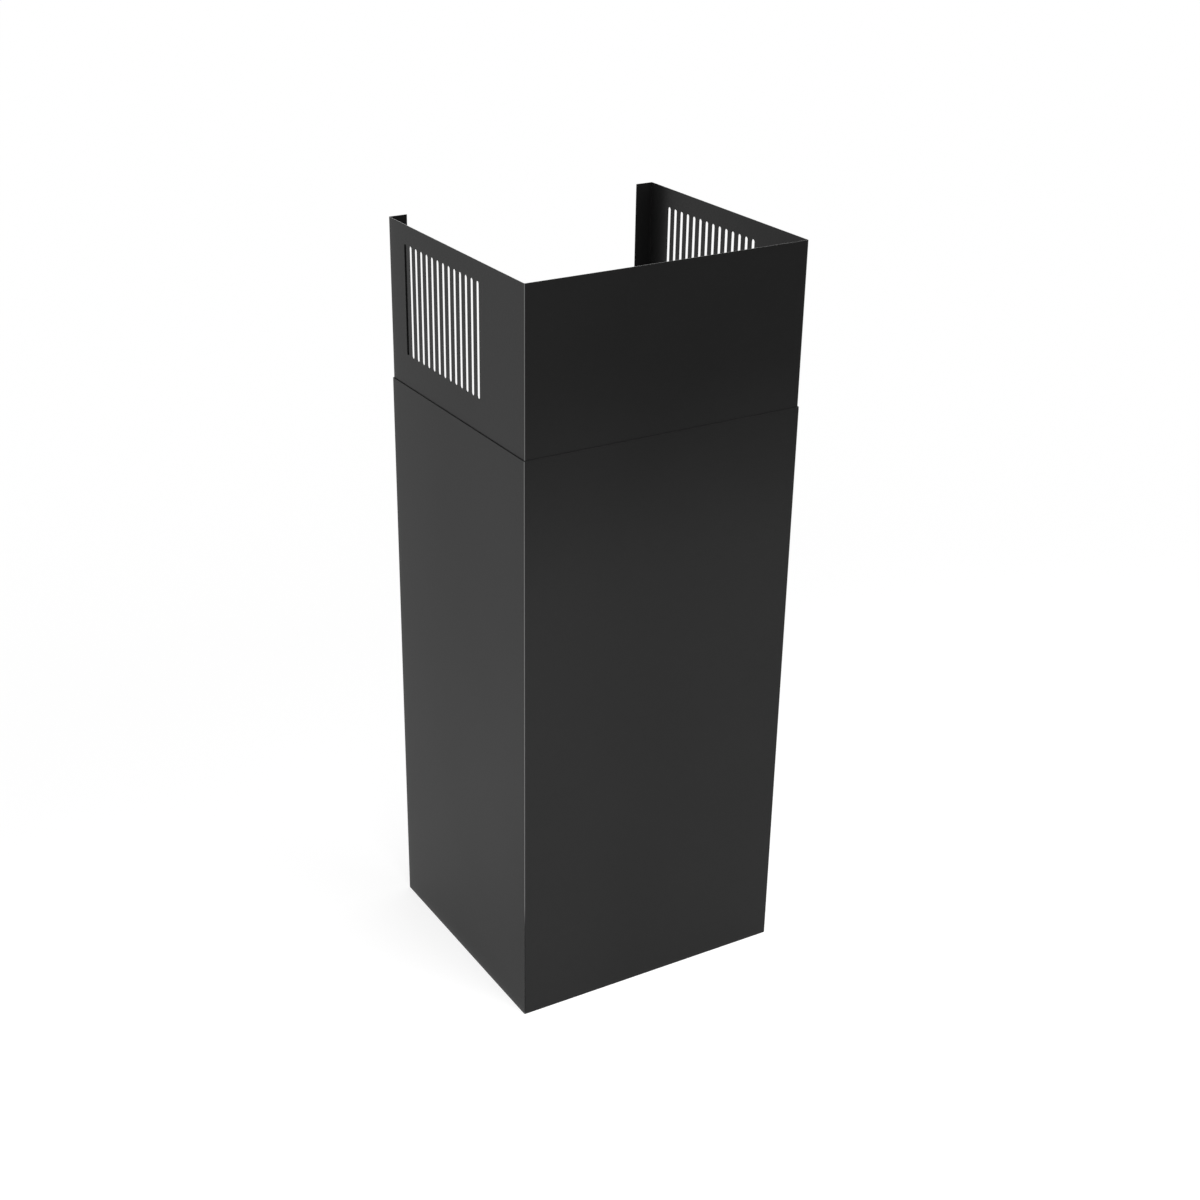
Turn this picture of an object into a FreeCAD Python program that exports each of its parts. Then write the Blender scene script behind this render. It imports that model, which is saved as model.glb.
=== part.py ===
import FreeCAD, Part
import Sketcher
import math
import os

# Telescopic chimney cover of a wall-mounted cooker hood: two open-backed sections, each folded from one
# sheet of thin painted steel. The lower section stands on the hood. The upper one slides inside it, reaches
# down to the same level when it is fully lowered, and has air vents in the head that always shows.
# Frame: origin at the middle of the base, +X to the right of the front, +Y to the wall, +Z up.

# Driving dimensions in millimetres, each a named cell of the sheet
SIZES = {
    "chimney_width": 290.0,  # across the front, outside of the lower section
    "chimney_depth": 260.0,  # front face to wall, outside of the lower section
    "lower_length": 583.0,  # height of the lower section
    "head_height": 155.0,  # stretch of the upper section that stands above the lowered joint
    "sheet_thickness": 0.6,
    "bend_radius": 0.6,  # inside of every fold
    "return_width": 18.5,  # rear return, from the outside of its side wall to its free edge
    "sliding_gap": 0.3,  # between the two sections, on every face
    "slot_width": 4.4,
    "slot_length": 106.0,  # over the round ends
    "slot_pitch": 10.9,
    "slot_count": 14,  # in each side wall
    "slot_top_margin": 18.0,  # top edge of the upper section to the slots' top ends
    "slot_rear_margin": 33.5,  # rear face of the upper section to the centre of the nearest slot
}

# The upper section is smaller all round by the lower section's sheet and the gap that it slides with
SLIDE_IN = "2 * (sizes.sheet_thickness + sizes.sliding_gap)"
UPPER_WIDTH = f"sizes.chimney_width - {SLIDE_IN}"
UPPER_DEPTH = f"sizes.chimney_depth - {SLIDE_IN}"
UPPER_LENGTH = "sizes.lower_length + sizes.head_height"

# Points of a sketch edge, and the sketch's origin as an edge and a point on it
START, END, CENTRE = range(1, 4)
ORIGIN = (-1, START)

doc = FreeCAD.newDocument("hood_chimney")
sheet = doc.addObject("Spreadsheet::Sheet", "sizes")
for row, (alias, value) in enumerate(SIZES.items(), start=1):
    sheet.set(f"A{row}", str(value))
    sheet.setAlias(f"A{row}", alias)
doc.recompute()


def measure(expression):
    """Value of an expression in the sheet's cells, to draw a sketch near its final place."""
    return float(sheet.evalExpression(expression))


def origin_feature(body, role):
    """A plane or an axis of the body's own origin."""
    return next(feature for feature in body.Origin.OriginFeatures if feature.Role == role)


def sketch_on(body, role, name):
    """An empty sketch on one of the body's origin planes."""
    sketch = body.newObject("Sketcher::SketchObject", name)
    sketch.AttachmentSupport = (origin_feature(body, role), "")
    sketch.MapMode = "FlatFace"
    return sketch


def hold(sketch, *constraint):
    """Adds a constraint that has no size."""
    sketch.addConstraint(Sketcher.Constraint(*constraint))


def drive(sketch, name, expression, kind, *points):
    """Adds a named dimension whose value follows the sheet."""
    index = sketch.addConstraint(Sketcher.Constraint(kind, *points, measure(expression)))
    sketch.renameConstraint(index, name)
    sketch.setExpression(f"Constraints.{name}", expression)


def draw_sheet_face(sketch, fold_centres, radius, free_edge):
    """One face of the folded sheet in plan: five flats and the four folds between them.

    It runs from the free edge of the left return, round by the front, to that of the right one.
    """
    fold_starts = (90, 180, 270, 0)
    arcs = []
    for centre, angle in zip(fold_centres, fold_starts):
        circle = Part.Circle(centre, FreeCAD.Vector(0, 0, 1), radius)
        arcs.append(Part.ArcOfCircle(circle, math.radians(angle), math.radians(angle + 90)))
    left_edge = FreeCAD.Vector(-free_edge, arcs[0].StartPoint.y, 0)
    right_edge = FreeCAD.Vector(free_edge, arcs[-1].EndPoint.y, 0)
    flat_starts = [left_edge] + [arc.EndPoint for arc in arcs]
    flat_ends = [arc.StartPoint for arc in arcs] + [right_edge]
    flats = [sketch.addGeometry(Part.LineSegment(*ends)) for ends in zip(flat_starts, flat_ends)]
    folds = [sketch.addGeometry(arc) for arc in arcs]
    for place, flat in enumerate(flats):
        hold(sketch, "Vertical" if place % 2 else "Horizontal", flat)
    for place, fold in enumerate(folds):
        hold(sketch, "Tangent", flats[place], END, fold, START)
        hold(sketch, "Tangent", fold, END, flats[place + 1], START)
    return flats, folds


def folded_section(label, width, depth, length):
    """A chimney section: one sheet folded into a front, two side walls and a narrow return behind each."""
    body = doc.addObject("PartDesign::Body", label)
    plan = sketch_on(body, "XY_Plane", f"{label}_plan")
    outer_bend = "sizes.bend_radius + sizes.sheet_thickness"
    outer_radius = measure(outer_bend)
    inner_radius = measure("sizes.bend_radius")
    fold_x = measure(width) / 2 - outer_radius
    fold_y = measure(depth) / 2 - outer_radius
    free_edge = measure(width) / 2 - measure("sizes.return_width")
    corners = ((-1, 1), (-1, -1), (1, -1), (1, 1))
    fold_centres = [FreeCAD.Vector(x * fold_x, y * fold_y, 0) for x, y in corners]
    outer_flats, outer_folds = draw_sheet_face(plan, fold_centres, outer_radius, free_edge)
    inner_flats, inner_folds = draw_sheet_face(plan, fold_centres, inner_radius, free_edge)

    # The two faces share their fold centres, so the sheet is as thick at the folds as in the flats
    for outer, inner in zip(outer_folds, inner_folds):
        hold(plan, "Coincident", inner, CENTRE, outer, CENTRE)
    for fold in outer_folds[1:]:
        hold(plan, "Equal", fold, outer_folds[0])
    drive(plan, "outer_bend", outer_bend, "Radius", outer_folds[0])
    drive(plan, "inner_bend", "sizes.bend_radius", "Radius", inner_folds[0])

    # Cut edges that close the sheet at the free ends of its two returns
    for place, point in ((0, START), (-1, END)):
        outer, inner = outer_flats[place], inner_flats[place]
        edge_points = (plan.getPoint(outer, point), plan.getPoint(inner, point))
        cut_edge = plan.addGeometry(Part.LineSegment(*edge_points))
        hold(plan, "Vertical", cut_edge)
        hold(plan, "Coincident", cut_edge, START, outer, point)
        hold(plan, "Coincident", cut_edge, END, inner, point)

    # The plan is centred on the origin, which lies midway between opposite ends of the two side walls
    left_return, left_wall, front, right_wall, right_return = outer_flats
    hold(plan, "Symmetric", left_wall, START, right_wall, START, *ORIGIN)
    hold(plan, "Horizontal", left_wall, START, right_wall, END)
    drive(plan, "width", width, "DistanceX", left_wall, START, right_wall, END)
    drive(plan, "depth", depth, "DistanceY", front, START, left_return, START)
    drive(plan, "left_return", "sizes.return_width", "DistanceX", left_wall, START, left_return, START)
    drive(plan, "right_return", "sizes.return_width", "DistanceX", right_return, END, right_wall, END)

    pad = body.newObject("PartDesign::Pad", f"{label}_sheet")
    pad.Profile = plan
    pad.setExpression("Length", length)
    body.Tip = pad
    return body


def punch_vents(body):
    """Upright round-ended slots, punched through both side walls of the upper section in one row each."""
    slot = sketch_on(body, "YZ_Plane", "vent_slot")
    end_radius = "sizes.slot_width / 2"
    straight = "sizes.slot_length - sizes.slot_width"
    rear_place = f"({UPPER_DEPTH}) / 2 - sizes.slot_rear_margin"
    top_place = f"{UPPER_LENGTH} - sizes.slot_top_margin - {end_radius}"
    radius = measure(end_radius)
    place = measure(rear_place)
    top = measure(top_place)
    bottom = top - measure(straight)
    round_ends = []
    for height, angle in ((top, 0), (bottom, math.pi)):
        circle = Part.Circle(FreeCAD.Vector(place, height, 0), FreeCAD.Vector(0, 0, 1), radius)
        round_ends.append(slot.addGeometry(Part.ArcOfCircle(circle, angle, angle + math.pi)))
    top_end, bottom_end = round_ends
    for upper, lower in ((END, START), (START, END)):
        edge_points = (slot.getPoint(top_end, upper), slot.getPoint(bottom_end, lower))
        long_edge = slot.addGeometry(Part.LineSegment(*edge_points))
        hold(slot, "Tangent", top_end, upper, long_edge, START)
        hold(slot, "Tangent", long_edge, END, bottom_end, lower)
    hold(slot, "Vertical", long_edge)
    hold(slot, "Equal", top_end, bottom_end)
    drive(slot, "end_radius", end_radius, "Radius", top_end)
    drive(slot, "straight", straight, "DistanceY", bottom_end, CENTRE, top_end, CENTRE)
    drive(slot, "rear_place", rear_place, "DistanceX", *ORIGIN, top_end, CENTRE)
    drive(slot, "top_place", top_place, "DistanceY", *ORIGIN, top_end, CENTRE)

    punch = body.newObject("PartDesign::Pocket", "vent_punch")
    punch.Profile = slot
    punch.Type = "ThroughAll"
    punch.SideType = "Symmetric"

    vents = body.newObject("PartDesign::LinearPattern", "vent_row")
    vents.Originals = [punch]
    vents.Direction = (origin_feature(body, "Y_Axis"), [""])
    vents.Reversed = True
    vents.Mode = "Spacing"
    vents.setExpression("Offset", "sizes.slot_pitch")
    vents.setExpression("Occurrences", "sizes.slot_count")
    body.Tip = vents


lower_section = folded_section(
    "lower_section", "sizes.chimney_width", "sizes.chimney_depth", "sizes.lower_length"
)
upper_section = folded_section("upper_section", UPPER_WIDTH, UPPER_DEPTH, UPPER_LENGTH)
punch_vents(upper_section)
doc.recompute()

failed = [item.Label for item in doc.Objects if {"Invalid", "Error"} & set(item.State)]
if failed:
    raise RuntimeError(f"failed to build: {failed}")
sections = (lower_section, upper_section)
for section in sections:
    if section.Shape.isNull() or not section.Shape.isValid():
        raise RuntimeError(f"no valid solid: {section.Label}")

os.makedirs("parts", exist_ok=True)
for section in sections:
    section.Shape.exportStep(f"parts/{section.Label}.step")
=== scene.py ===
import bmesh
import bpy
import math
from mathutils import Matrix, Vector


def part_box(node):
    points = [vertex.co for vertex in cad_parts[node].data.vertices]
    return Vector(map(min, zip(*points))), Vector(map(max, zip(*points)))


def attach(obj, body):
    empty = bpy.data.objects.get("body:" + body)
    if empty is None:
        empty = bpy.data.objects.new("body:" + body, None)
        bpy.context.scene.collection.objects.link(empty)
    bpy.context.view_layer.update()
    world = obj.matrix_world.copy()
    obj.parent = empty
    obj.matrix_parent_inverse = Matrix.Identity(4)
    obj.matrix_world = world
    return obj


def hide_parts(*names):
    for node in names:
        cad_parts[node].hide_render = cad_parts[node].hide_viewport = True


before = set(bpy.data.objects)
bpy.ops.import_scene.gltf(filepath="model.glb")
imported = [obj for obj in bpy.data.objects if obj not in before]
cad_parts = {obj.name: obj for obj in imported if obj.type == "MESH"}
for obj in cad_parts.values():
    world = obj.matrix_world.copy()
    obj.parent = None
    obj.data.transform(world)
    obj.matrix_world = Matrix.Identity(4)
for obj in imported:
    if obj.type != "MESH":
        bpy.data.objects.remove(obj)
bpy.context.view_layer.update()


# Lower section: one blank of thin steel sheet, folded four times into an open-backed box and then
# powder coated satin black, inside and out. It stands on the hood, with its rear returns to the wall.
SHEET = 0.0006
FOLD_RADIUS = 0.0012  # outside of every fold
FOLD_STEPS = 8
RETURN = 0.0185  # rear return, from the outside of its side wall
SLOT_END_STEPS = 10
EDGE_BREAK = 0.00012  # rounding that deburring and the coat leave on a cut edge
EDGE_STEPS = 2
CUT_EDGE_ANGLE = math.radians(60)  # least turn between the two faces at a cut edge


def fold_points(centre, first_degrees):
    """Plan points round the outside of a quarter-turn fold."""
    turns = [math.radians(first_degrees + 90 * step / FOLD_STEPS) for step in range(FOLD_STEPS + 1)]
    return [(centre[0] + FOLD_RADIUS * math.cos(a), centre[1] + FOLD_RADIUS * math.sin(a)) for a in turns]


def punched_strip(blank, left, right):
    """Closes the blank above and below a round-ended slot that lies between two columns of points."""
    left_base, left_low, left_high, left_top = left
    right_base, right_low, right_high, right_top = right
    radius = (right_low.co - left_low.co).length / 2
    angles = [math.pi * step / SLOT_END_STEPS for step in range(1, SLOT_END_STEPS)]

    def round_end(near, far, sense):
        middle = (near.co + far.co) / 2
        reach = (near.co - far.co) / 2
        rise = Vector((0, 0, sense * radius))
        return [blank.verts.new(middle + reach * math.cos(a) + rise * math.sin(a)) for a in angles]

    below = round_end(right_low, left_low, -1)
    above = round_end(left_high, right_high, 1)
    blank.faces.new([left_base, right_base, right_low, *below, left_low])
    blank.faces.new([left_high, *above, right_high, right_top, left_top])


def folded_sheet(name, low, high, slot_edges=(), slot_low=0, slot_high=0):
    """A section of the chimney that fills the box from low to high.

    slot_edges holds the front-to-back places of each slot's two long edges, from the front to the rear.
    Each point of the outline is a place in plan, with two marks: on a slot's edge, and on its first edge.
    """
    outline = [(low.x + RETURN, high.y, False, False)]
    rear = high.y - FOLD_RADIUS
    front = low.y + FOLD_RADIUS
    left = low.x + FOLD_RADIUS
    right = high.x - FOLD_RADIUS

    def plain(points):
        return [(x, y, False, False) for x, y in points]

    def wall(x, pairs):
        return [(x, y, True, first) for pair in pairs for y, first in zip(pair, (True, False))]

    outline += plain(fold_points((left, rear), 90))
    outline += wall(low.x, [(b, a) for a, b in reversed(slot_edges)])
    outline += plain(fold_points((left, front), 180))
    outline += plain(fold_points((right, front), 270))
    outline += wall(high.x, slot_edges)
    outline += plain(fold_points((right, rear), 0))
    outline.append((high.x - RETURN, high.y, False, False))

    blank = bmesh.new()
    columns = []
    for x, y, punched, _ in outline:
        heights = (low.z, slot_low, slot_high, high.z) if punched else (low.z, high.z)
        columns.append([blank.verts.new((x, y, z)) for z in heights])
    for column, following, (_, _, _, opens) in zip(columns, columns[1:], outline):
        if opens:
            punched_strip(blank, column, following)
        else:
            blank.faces.new([column[0], *following, *reversed(column[1:])])
    for face in blank.faces:
        face.smooth = True
    mesh = bpy.data.meshes.new(name)
    blank.to_mesh(mesh)
    blank.free()
    section = bpy.data.objects.new(name, mesh)
    bpy.context.scene.collection.objects.link(section)

    thickness = section.modifiers.new("sheet", "SOLIDIFY")
    thickness.thickness = SHEET
    thickness.offset = -1
    thickness.use_even_offset = True
    edges = section.modifiers.new("edge_break", "BEVEL")
    edges.width = EDGE_BREAK
    edges.segments = EDGE_STEPS
    edges.limit_method = "ANGLE"
    edges.angle_limit = CUT_EDGE_ANGLE
    section.modifiers.new("flats", "WEIGHTED_NORMAL")
    return section


COAT_DARK = (0.0170, 0.0170, 0.0170, 1)
COAT_LIGHT = (0.0200, 0.0200, 0.0200, 1)
COAT_GLOSS = (0.28, 0.36)  # roughness where the film flowed best, and where it stayed driest
COAT_SPECULAR = 0.12
FILM_PATCH = 0.11  # breadth of the patches in which the film's tone and gloss drift
FILM_DETAIL = 3
ORANGE_PEEL = 0.0022  # breadth of the ripples that powder leaves when it melts
PEEL_DETAIL = 2
PEEL_HEIGHT = 0.00004
FLAT_NORMAL = 0.97  # larger level part of the surface normal, where the flats end
FOLD_NORMAL = 0.85  # and well inside an upright fold
FOLD_IOR = 2.1  # gloss of the film on the folds
FOLD_ROUGHNESS = 0.15


def black_coat():
    """Satin black powder coat: fine orange peel, with faint drifts of tone and gloss over the sheet.

    The film is drawn tight round the outside of the upright folds, and is glossy there.
    """
    material = bpy.data.materials.new("black_coat")
    material.use_nodes = True
    nodes = material.node_tree.nodes
    links = material.node_tree.links
    shader = nodes["Principled BSDF"]
    shader.inputs["Specular IOR Level"].default_value = COAT_SPECULAR
    shader.inputs["Coat IOR"].default_value = FOLD_IOR
    shader.inputs["Coat Roughness"].default_value = FOLD_ROUGHNESS
    surface = nodes.new("ShaderNodeTexCoord")

    def ripples(breadth, detail):
        noise = nodes.new("ShaderNodeTexNoise")
        noise.inputs["Scale"].default_value = 1 / breadth
        noise.inputs["Detail"].default_value = detail
        links.new(surface.outputs["Object"], noise.inputs["Vector"])
        return noise.outputs["Fac"]

    def combined(operation, first, second):
        value = nodes.new("ShaderNodeMath")
        value.operation = operation
        links.new(first, value.inputs[0])
        links.new(second, value.inputs[1])
        return value.outputs[0]

    # On an upright fold the normal lies between two level axes. Its upright part leaves out the cut edges.
    lengths = nodes.new("ShaderNodeVectorMath")
    lengths.operation = "ABSOLUTE"
    links.new(surface.outputs["Normal"], lengths.inputs[0])
    axes = nodes.new("ShaderNodeSeparateXYZ")
    links.new(lengths.outputs[0], axes.inputs[0])
    folds = nodes.new("ShaderNodeMapRange")
    folds.interpolation_type = "SMOOTHSTEP"
    folds.inputs["From Min"].default_value = FLAT_NORMAL
    folds.inputs["From Max"].default_value = FOLD_NORMAL
    level = combined("MAXIMUM", axes.outputs["X"], axes.outputs["Y"])
    links.new(combined("ADD", level, axes.outputs["Z"]), folds.inputs["Value"])
    # Only the outside of a fold faces away from the middle of the chimney
    outwards = nodes.new("ShaderNodeVectorMath")
    outwards.operation = "DOT_PRODUCT"
    links.new(surface.outputs["Normal"], outwards.inputs[0])
    links.new(surface.outputs["Object"], outwards.inputs[1])
    outside = nodes.new("ShaderNodeMath")
    outside.operation = "GREATER_THAN"
    outside.inputs[1].default_value = 0
    links.new(outwards.outputs["Value"], outside.inputs[0])
    glossy = combined("MULTIPLY", folds.outputs["Result"], outside.outputs[0])
    links.new(glossy, shader.inputs["Coat Weight"])

    film = ripples(FILM_PATCH, FILM_DETAIL)
    tone = nodes.new("ShaderNodeMix")
    tone.data_type = "RGBA"
    tone.inputs["A"].default_value = COAT_DARK
    tone.inputs["B"].default_value = COAT_LIGHT
    links.new(film, tone.inputs["Factor"])
    links.new(tone.outputs["Result"], shader.inputs["Base Color"])
    gloss = nodes.new("ShaderNodeMapRange")
    gloss.inputs["To Min"].default_value, gloss.inputs["To Max"].default_value = COAT_GLOSS
    links.new(film, gloss.inputs["Value"])
    links.new(gloss.outputs["Result"], shader.inputs["Roughness"])
    peel = nodes.new("ShaderNodeBump")
    peel.inputs["Distance"].default_value = PEEL_HEIGHT
    links.new(ripples(ORANGE_PEEL, PEEL_DETAIL), peel.inputs["Height"])
    links.new(peel.outputs["Normal"], shader.inputs["Normal"])
    return material


coat = black_coat()
lower_low, lower_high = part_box("lower_section")
lower_section = folded_sheet("lower_section_sheet", lower_low, lower_high)
lower_section.data.materials.append(coat)
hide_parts("lower_section")
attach(lower_section, "lower")


# Upper section: a second folded blank that slides inside the lower one. A row of upright vent slots is
# punched in each of its side walls before folding, near the rear of the head that stands above the seam.
SLOT_WIDTH = 0.0044
SLOT_LENGTH = 0.106
SLOT_PITCH = 0.0109
SLOT_COUNT = 14
SLOT_TOP_MARGIN = 0.018
SLOT_REAR_MARGIN = 0.0335

upper_low, upper_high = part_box("upper_section")
rear_slot = upper_high.y - SLOT_REAR_MARGIN
slot_places = [rear_slot - SLOT_PITCH * place for place in reversed(range(SLOT_COUNT))]
slot_edges = [(place - SLOT_WIDTH / 2, place + SLOT_WIDTH / 2) for place in slot_places]
slot_high = upper_high.z - SLOT_TOP_MARGIN - SLOT_WIDTH / 2
slot_low = slot_high - (SLOT_LENGTH - SLOT_WIDTH)
upper_section = folded_sheet("upper_section_sheet", upper_low, upper_high, slot_edges, slot_low, slot_high)
upper_section.data.materials.append(coat)
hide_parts("upper_section")
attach(upper_section, "upper")


# Studio: a matt pale floor that runs out past the picture, in a white room. The floor keeps the chimney's
# shadow. Rays that look at the studio see the floor glow and the room pure white. The light that falls on
# the coat is that of a grey floor and a dimmer room.
WHITE = (1, 1, 1, 1)
FLOOR_REACH = 15.0
FLOOR_CORNERS = ((-1, -1), (1, -1), (1, 1), (-1, 1))
FLOOR_COLOUR = (0.40, 0.40, 0.40, 1)
FLOOR_ROUGHNESS = 0.95
FLOOR_GLOW = 0.68
ROOM_LIGHT = 0.80
BACKDROP_LEVEL = 1.0


def board(name, corners):
    """A flat four-cornered sheet of the studio."""
    mesh = bpy.data.meshes.new(name)
    mesh.from_pydata(corners, [], [(0, 1, 2, 3)])
    sheet = bpy.data.objects.new(name, mesh)
    bpy.context.scene.collection.objects.link(sheet)
    return sheet


def seen_rays(tree):
    """1 for the rays that look at the studio itself: camera, mirror and see-through rays."""
    path = tree.nodes.new("ShaderNodeLightPath")
    total = path.outputs["Is Camera Ray"]
    for ray in ("Is Glossy Ray", "Is Transmission Ray"):
        either = tree.nodes.new("ShaderNodeMath")
        either.operation = "MAXIMUM"
        tree.links.new(total, either.inputs[0])
        tree.links.new(path.outputs[ray], either.inputs[1])
        total = either.outputs[0]
    return total


floor = board("floor", [(x * FLOOR_REACH, y * FLOOR_REACH, 0) for x, y in FLOOR_CORNERS])
pale = bpy.data.materials.new("floor")
pale.use_nodes = True
tree = pale.node_tree
paint = tree.nodes["Principled BSDF"]
paint.inputs["Base Color"].default_value = FLOOR_COLOUR
paint.inputs["Roughness"].default_value = FLOOR_ROUGHNESS
paint.inputs["Specular IOR Level"].default_value = 0
glow = tree.nodes.new("ShaderNodeEmission")
glow.inputs["Strength"].default_value = FLOOR_GLOW
lit = tree.nodes.new("ShaderNodeAddShader")
pick = tree.nodes.new("ShaderNodeMixShader")
tree.links.new(paint.outputs[0], lit.inputs[0])
tree.links.new(glow.outputs[0], lit.inputs[1])
tree.links.new(seen_rays(tree), pick.inputs[0])
tree.links.new(paint.outputs[0], pick.inputs[1])
tree.links.new(lit.outputs[0], pick.inputs[2])
tree.links.new(pick.outputs[0], tree.nodes["Material Output"].inputs["Surface"])
floor.data.materials.append(pale)

world = bpy.data.worlds.new("studio")
bpy.context.scene.world = world
world.use_nodes = True
tree = world.node_tree
soft = tree.nodes["Background"]
soft.inputs["Color"].default_value = WHITE
soft.inputs["Strength"].default_value = ROOM_LIGHT
backdrop = tree.nodes.new("ShaderNodeBackground")
backdrop.inputs["Color"].default_value = WHITE
backdrop.inputs["Strength"].default_value = BACKDROP_LEVEL
pick = tree.nodes.new("ShaderNodeMixShader")
tree.links.new(seen_rays(tree), pick.inputs[0])
tree.links.new(soft.outputs[0], pick.inputs[1])
tree.links.new(backdrop.outputs[0], pick.inputs[2])
tree.links.new(pick.outputs[0], tree.nodes["World Output"].inputs["Surface"])


# Nets: black gauze hung close to the coat, out of the picture, that only mirrored rays meet. They paint
# shade into what the coat mirrors of the white studio. Those at the front and the right thicken upwards,
# so their faces are painted darker towards the head, and the front one is thinner by the left fold. The
# left one is thickest at the rear and in its lower front corner. A narrow one paints shade over the foot
# of the left fold.
NET_GAP = 0.003
NET_OVERHANG = 0.0025  # past the far edge of the face that it hangs in front of
NET_TOP = 1.4  # over the head when the chimney is drawn right out
# Painted shade: the black of the nets, which shows only in the coat's reflections
SHADE_NET_BLACK = (0, 0, 0, 1)
UPWARDS = (0, 0, 1)
RIGHTWARDS = (1, 0, 0)
REARWARDS = (0, 1, 0)
REARWARDS_AND_UP = (0, 1, 1)
# Painted shade in the front face's reflections: darker towards the head, and less of it by the left fold
FRONT_SHADE_FADES = [
    (UPWARDS, (0.43, 0.68), (0.24, 1.08)),
    (RIGHTWARDS, (-0.145, 0.02), (-0.24, 0.0)),
]
# Painted shade in the right face's reflections: darker towards the head
RIGHT_SHADE_FADES = [(UPWARDS, (0.36, 0.74), (0.0, 0.35))]
# Painted shade in the left face's reflections: darker to the rear and in its lower front corner
LEFT_SHADE_FADES = [
    (REARWARDS, (-0.13, 0.05), (0.05, 0.18)),
    (REARWARDS_AND_UP, (-0.13, 0.21), (0.25, 0.0)),
]
# Painted shade over the foot of the left front fold, so its highlight stops short of the base
FOLD_SHADE_FADES = [(UPWARDS, (0.097, 0.131), (1.0, 0.0))]


def shade_net(name, edges, fades):
    """A net of painted shade between two upright edges, from the floor up, that only mirrored rays meet.

    A fade has a direction, a stretch along it, and the share of the rays stopped before and after that
    stretch. The shares of two fades add up, and from 1 upwards all rays are stopped.
    """
    low = [(x, y, 0) for x, y in edges]
    high = [(x, y, NET_TOP) for x, y in reversed(edges)]
    shade_gauze = board(name, low + high)
    shade_gauze.visible_camera = False
    shade_gauze.visible_diffuse = False
    shade_gauze.visible_shadow = False
    black = bpy.data.materials.new(name)
    black.use_nodes = True
    nodes = black.node_tree.nodes
    links = black.node_tree.links
    shader = nodes["Principled BSDF"]
    shader.inputs["Base Color"].default_value = SHADE_NET_BLACK
    shader.inputs["Specular IOR Level"].default_value = 0
    studio = nodes.new("ShaderNodeTexCoord")
    stopped = nodes.new("ShaderNodeMath")
    stopped.operation = "ADD"
    stopped.inputs[1].default_value = 0
    for (direction, stretch, cover), share in zip(fades, stopped.inputs):
        place = nodes.new("ShaderNodeVectorMath")
        place.operation = "DOT_PRODUCT"
        place.inputs[1].default_value = direction
        links.new(studio.outputs["Object"], place.inputs[0])
        thickens = nodes.new("ShaderNodeMapRange")
        thickens.interpolation_type = "SMOOTHSTEP"
        thickens.inputs["From Min"].default_value, thickens.inputs["From Max"].default_value = stretch
        thickens.inputs["To Min"].default_value, thickens.inputs["To Max"].default_value = cover
        links.new(place.outputs["Value"], thickens.inputs["Value"])
        links.new(thickens.outputs["Result"], share)
    links.new(stopped.outputs[0], shader.inputs["Alpha"])
    shade_gauze.data.materials.append(black)


# Each net paints shade into the reflections of the face that it hangs in front of
net_sides = (lower_low.x, lower_high.x + NET_OVERHANG)
net_ends = (lower_low.y, lower_high.y + NET_OVERHANG)
front_net_edges = [(x, lower_low.y - NET_GAP) for x in net_sides]
shade_net("front_shade_net", front_net_edges, FRONT_SHADE_FADES)
right_net_edges = [(lower_high.x + NET_GAP, y) for y in net_ends]
shade_net("right_shade_net", right_net_edges, RIGHT_SHADE_FADES)
left_net_edges = [(lower_low.x - NET_GAP, y) for y in net_ends]
shade_net("left_shade_net", left_net_edges, LEFT_SHADE_FADES)
fold_net_edges = [(lower_low.x - NET_GAP, lower_low.y), (lower_low.x, lower_low.y - NET_GAP)]
shade_net("fold_shade_net", fold_net_edges, FOLD_SHADE_FADES)


# Lamps: soft boxes out of the picture. The high one behind shows only as a sheen inside the head, and the
# one over the floor in front makes the pale pool that the lower part of the front face mirrors.
BACK_BOX = (1.6, 1.0)
BACK_PLACE = (1.25, 2.25, 1.95)
BACK_AIM = (0, 0, 0.6)
BACK_RADIANCE = 5.0
POOL_BOX = (1.0, 0.8)
POOL_PLACE = (0.10, -0.85, 1.9)
POOL_AIM = (0.10, -0.85, 0)
POOL_RADIANCE = 3.4
POOL_SPREAD = math.radians(70)


def softbox(name, size, place, aim, radiance):
    """A rectangular lamp of even brightness that the camera doesn't see."""
    lamp = bpy.data.lights.new(name, "AREA")
    lamp.shape = "RECTANGLE"
    lamp.size, lamp.size_y = size
    lamp.energy = radiance * math.pi * lamp.size * lamp.size_y
    box = bpy.data.objects.new(name, lamp)
    box.location = place
    box.rotation_euler = (Vector(aim) - Vector(place)).to_track_quat("-Z", "Y").to_euler()
    box.visible_camera = False
    bpy.context.scene.collection.objects.link(box)
    return box


back = softbox("back_box", BACK_BOX, BACK_PLACE, BACK_AIM, BACK_RADIANCE)
back.visible_diffuse = False
pool = softbox("pool_box", POOL_BOX, POOL_PLACE, POOL_AIM, POOL_RADIANCE)
pool.data.spread = POOL_SPREAD


# Camera: a long lens above the head of the chimney, to the left of its front and tilted down. The lens is
# shifted, so that the chimney stands in the picture where the photograph has it.
CAMERA_PLACE = (-0.88698, -1.46827, 1.16760)
CAMERA_DIP = math.radians(26.4656)  # below the horizontal
CAMERA_TURN = math.radians(-29.1583)  # from straight at the front
LENS = 57.2585
SENSOR = 36.0
LENS_SHIFT = (0.05938, 0.03959)

camera_data = bpy.data.cameras.new("camera")
camera_data.sensor_width = SENSOR
camera_data.lens = LENS
camera_data.shift_x, camera_data.shift_y = LENS_SHIFT
camera = bpy.data.objects.new("camera", camera_data)
camera.location = CAMERA_PLACE
camera.rotation_euler = (math.pi / 2 - CAMERA_DIP, 0, CAMERA_TURN)
bpy.context.scene.collection.objects.link(camera)
bpy.context.scene.camera = camera
bpy.context.scene.view_settings.view_transform = "Standard"

bpy.context.view_layer.update()
